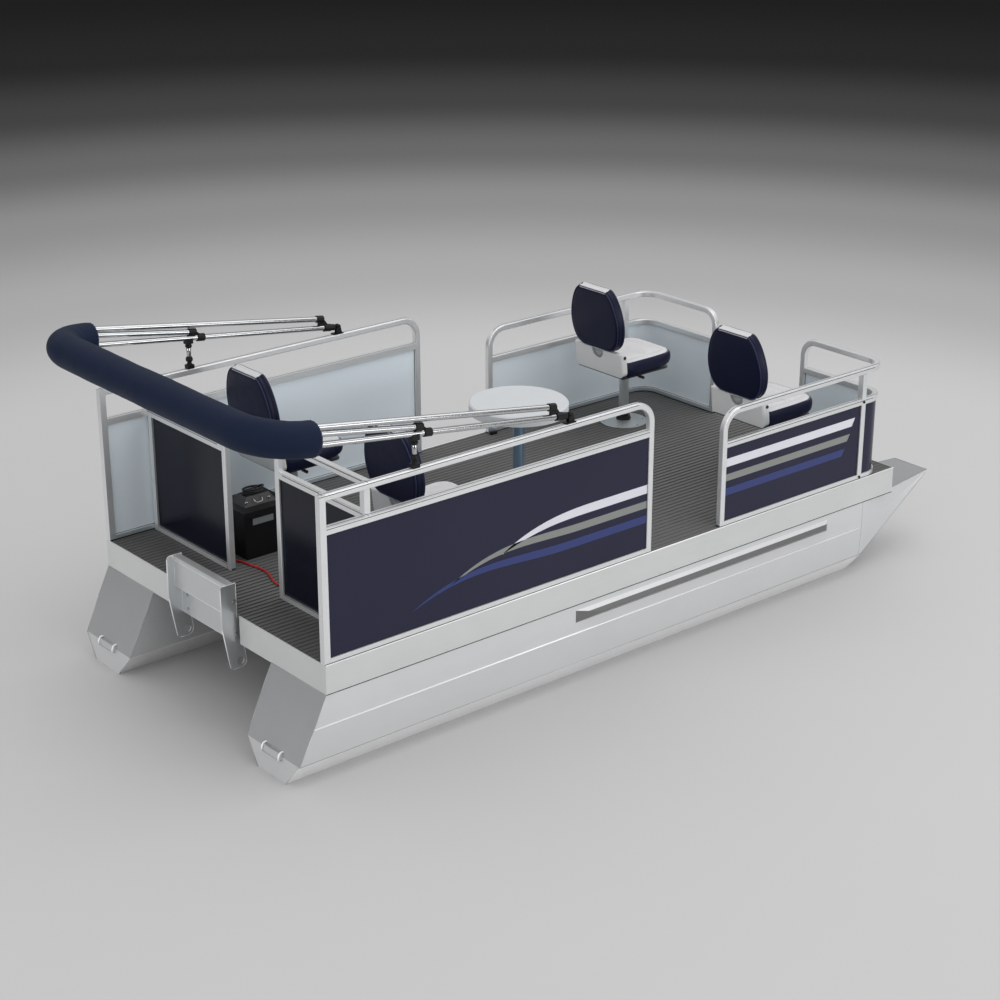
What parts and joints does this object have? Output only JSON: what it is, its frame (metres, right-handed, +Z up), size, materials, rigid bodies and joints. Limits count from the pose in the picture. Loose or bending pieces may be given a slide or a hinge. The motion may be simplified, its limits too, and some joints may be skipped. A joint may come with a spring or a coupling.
{
  "type": "pontoon boat",
  "caption": "Small open deck boat on twin flat-sided pontoons, with railed panel fences, pedestal seats that turn and fold, a round table and a folded bimini.",
  "frame": {"origin": "middle of the footprint on the floor under the keels", "axes": "+X to the bow, +Y to port, +Z up"},
  "size_m": [4.8129, 2.1156, 1.8405],
  "materials": {
    "hull": "satin mill finish",
    "fascia": "satin extrusion",
    "structure": "mill finish",
    "deck": "ribbed matt grey",
    "rail": "bright anodised",
    "panel": "navy outside, pale grey-blue inside, satin",
    "bracket": "brushed plate",
    "fitting": "black nylon",
    "bow_tube": "polished tube",
    "boot": "navy canvas",
    "pedestal": "satin, dished foot",
    "swivel": "black enamel",
    "vinyl": "navy and white vinyl",
    "shell": "white moulded",
    "table_post": "anodised",
    "table": "white moulded",
    "battery": "black moulded",
    "cable": "red insulation",
    "lead": "black insulation"
  },
  "bodies": {
    "hull": {"pontoon_starboard": "hull", "pontoon_port": "hull", "spray_rails": "hull", "fascia": "fascia", "cross_members": "structure", "deck": "deck", "fence_stern_starboard": "rail", "panels_stern_starboard": "panel", "fence_bow_starboard": "rail", "panels_bow_starboard": "panel", "fence_stern_port": "rail", "panels_stern_port": "panel", "fence_bow_port": "rail", "panels_bow_port": "panel", "motor_bracket": "bracket", "bimini_mounts": "fitting", "bimini_struts": "fitting", "seat_pedestals": "pedestal", "table_base": "fitting", "battery_box": "battery", "battery_cable": "cable", "battery_plug": "battery", "gate_catch": "fitting"},
    "bimini": {"bimini_main_bow": "bow_tube", "bimini_front_bow": "bow_tube", "bimini_rear_bow": "bow_tube", "bimini_slides": "fitting", "bimini_boot": "boot"},
    "seat_bow_port_pan": {"seat_bow_port_swivel": "swivel", "seat_bow_port_cushion": "vinyl"},
    "seat_bow_port_back": {"seat_bow_port_back_frame": "shell", "seat_bow_port_back_pad": "vinyl"},
    "seat_bow_starboard_pan": {"seat_bow_starboard_swivel": "swivel", "seat_bow_starboard_cushion": "vinyl"},
    "seat_bow_starboard_back": {"seat_bow_starboard_back_frame": "shell", "seat_bow_starboard_back_pad": "vinyl"},
    "seat_stern_port_pan": {"seat_stern_port_swivel": "swivel", "seat_stern_port_cushion": "vinyl"},
    "seat_stern_port_back": {"seat_stern_port_back_frame": "shell", "seat_stern_port_back_pad": "vinyl"},
    "seat_stern_starboard_pan": {"seat_stern_starboard_swivel": "swivel", "seat_stern_starboard_cushion": "vinyl"},
    "seat_stern_starboard_back": {"seat_stern_starboard_back_frame": "shell", "seat_stern_starboard_back_pad": "vinyl"},
    "table": {"table_post": "table_post", "table_top": "table"},
    "battery_lid": {"battery_lid": "battery", "battery_leads": "lead"}
  },
  "joints": [
    {"name": "bimini_raise", "type": "hinge", "parent": "hull", "child": "bimini", "pos_m": [-0.5415, 0, 1.485], "axis": [0, 1, 0], "range_deg": [0, 80]},
    {"name": "seat_bow_port_swivel", "type": "hinge", "parent": "hull", "child": "seat_bow_port_pan", "pos_m": [1.3215, 0.6, 0.929], "axis": [0, 0, 1], "continuous": true},
    {"name": "seat_bow_port_fold", "type": "hinge", "parent": "seat_bow_port_pan", "child": "seat_bow_port_back", "pos_m": [1.1255, 0.6, 1.0973], "axis": [0, 1, 0], "range_deg": [0, 95]},
    {"name": "seat_bow_starboard_swivel", "type": "hinge", "parent": "hull", "child": "seat_bow_starboard_pan", "pos_m": [1.3215, -0.545, 0.929], "axis": [0, 0, 1], "continuous": true},
    {"name": "seat_bow_starboard_fold", "type": "hinge", "parent": "seat_bow_starboard_pan", "child": "seat_bow_starboard_back", "pos_m": [1.1255, -0.545, 1.0973], "axis": [0, 1, 0], "range_deg": [0, 95]},
    {"name": "seat_stern_port_swivel", "type": "hinge", "parent": "hull", "child": "seat_stern_port_pan", "pos_m": [-1.1285, 0.6, 0.929], "axis": [0, 0, 1], "continuous": true},
    {"name": "seat_stern_port_fold", "type": "hinge", "parent": "seat_stern_port_pan", "child": "seat_stern_port_back", "pos_m": [-1.3245, 0.6, 1.0973], "axis": [0, 1, 0], "range_deg": [0, 95]},
    {"name": "seat_stern_starboard_swivel", "type": "hinge", "parent": "hull", "child": "seat_stern_starboard_pan", "pos_m": [-1.0935, -0.57, 0.929], "axis": [0, 0, 1], "continuous": true},
    {"name": "seat_stern_starboard_fold", "type": "hinge", "parent": "seat_stern_starboard_pan", "child": "seat_stern_starboard_back", "pos_m": [-1.2895, -0.57, 1.0973], "axis": [0, 1, 0], "range_deg": [0, 95]},
    {"name": "table_lift_out", "type": "slide", "parent": "hull", "child": "table", "axis": [0, 0, 1], "range_m": [0, 0.1]},
    {"name": "battery_lid_lift", "type": "slide", "parent": "hull", "child": "battery_lid", "axis": [0, 0, 1], "range_m": [0, 0.05]}
  ]
}
